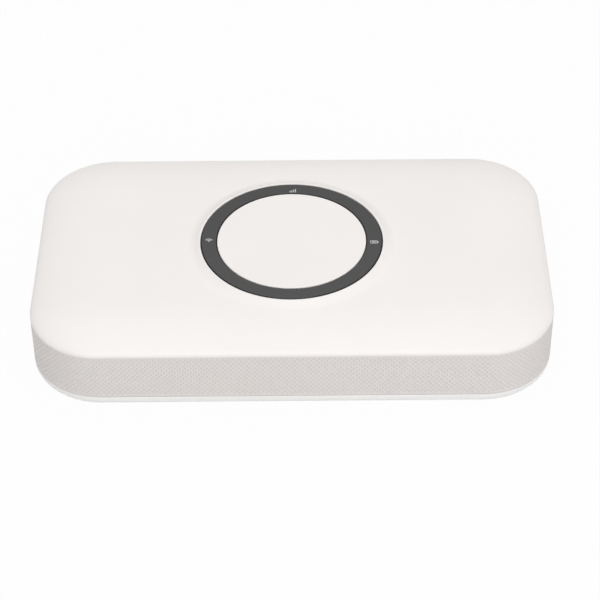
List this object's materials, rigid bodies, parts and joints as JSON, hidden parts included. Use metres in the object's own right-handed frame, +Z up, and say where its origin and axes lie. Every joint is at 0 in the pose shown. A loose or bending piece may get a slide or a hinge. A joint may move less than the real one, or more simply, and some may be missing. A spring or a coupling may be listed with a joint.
{
  "type": "pocket wireless router",
  "caption": "Palm-sized battery wireless router: white rounded case with a crowned roof, dark light ring, dimpled side band, clip-on back cover, end port and button.",
  "frame": {"origin": "middle of the flat underside of the back cover", "axes": "+X along the length towards the power button, +Y away from the user, +Z up through the light ring"},
  "size_m": [0.1, 0.06, 0.0156],
  "materials": {
    "shell_white": "satin",
    "band_white": "satin",
    "cover_white": "satin",
    "ring_smoke": "gloss",
    "cap_white": "satin",
    "glue_clear": "matte",
    "baffle_black": "matte",
    "pipe_milky": "satin",
    "led_pale": "gloss",
    "board_green": "satin",
    "can_steel": "satin",
    "chip_black": "matte",
    "socket_steel": "satin",
    "tongue_black": "matte",
    "button_white": "satin",
    "switch_black": "matte",
    "plunger_grey": "matte",
    "screw_steel": "satin",
    "cell_grey": "satin",
    "cell_end_black": "matte",
    "contact_gold": "polished",
    "connector_black": "matte",
    "antenna_copper": "satin"
  },
  "bodies": {
    "housing": {"top_cover": "shell_white", "mid_housing": "band_white", "ring_lens": "ring_smoke", "lens_glue": "glue_clear", "centre_cap": "cap_white", "light_baffle": "baffle_black", "light_pipes": "pipe_milky", "indicator_leds": "led_pale", "main_board": "board_green", "modem_shield": "can_steel", "modem_chips": "chip_black", "radio_shield": "can_steel", "radio_chips": "chip_black", "usb_shell": "socket_steel", "usb_tongue": "tongue_black", "power_switch": "switch_black", "reset_switch": "switch_black", "frame_screws": "screw_steel", "battery_connector": "connector_black", "battery_springs": "contact_gold", "card_base": "connector_black", "card_contacts": "contact_gold", "card_cover": "can_steel", "main_antenna": "antenna_copper", "second_antenna": "antenna_copper", "local_antenna": "antenna_copper"},
    "power_button": {"power_button": "button_white", "power_plunger": "plunger_grey"},
    "reset_pin": {"reset_pin": "plunger_grey"},
    "battery": {"battery_pack": "cell_grey", "battery_end": "cell_end_black", "battery_pads": "contact_gold"},
    "back_cover": {"back_cover": "cover_white"}
  },
  "joints": [
    {"name": "power_button_press", "type": "slide", "parent": "housing", "child": "power_button", "axis": [-1, 0, 0], "range_m": [0, 0.0004], "stiffness_N_per_m": 400},
    {"name": "reset_pin_press", "type": "slide", "parent": "housing", "child": "reset_pin", "axis": [0, 0, 1], "range_m": [0, 0.00025], "stiffness_N_per_m": 400},
    {"name": "back_cover_release", "type": "slide", "parent": "housing", "child": "back_cover", "axis": [0, 0, -1], "range_m": [0, 0.03]},
    {"name": "battery_lift", "type": "slide", "parent": "housing", "child": "battery", "axis": [0, 0, -1], "range_m": [0, 0.015]}
  ],
  "couplings": [
    {"joint": "battery_lift", "follows": "back_cover_release", "ratio": 0.45}
  ]
}
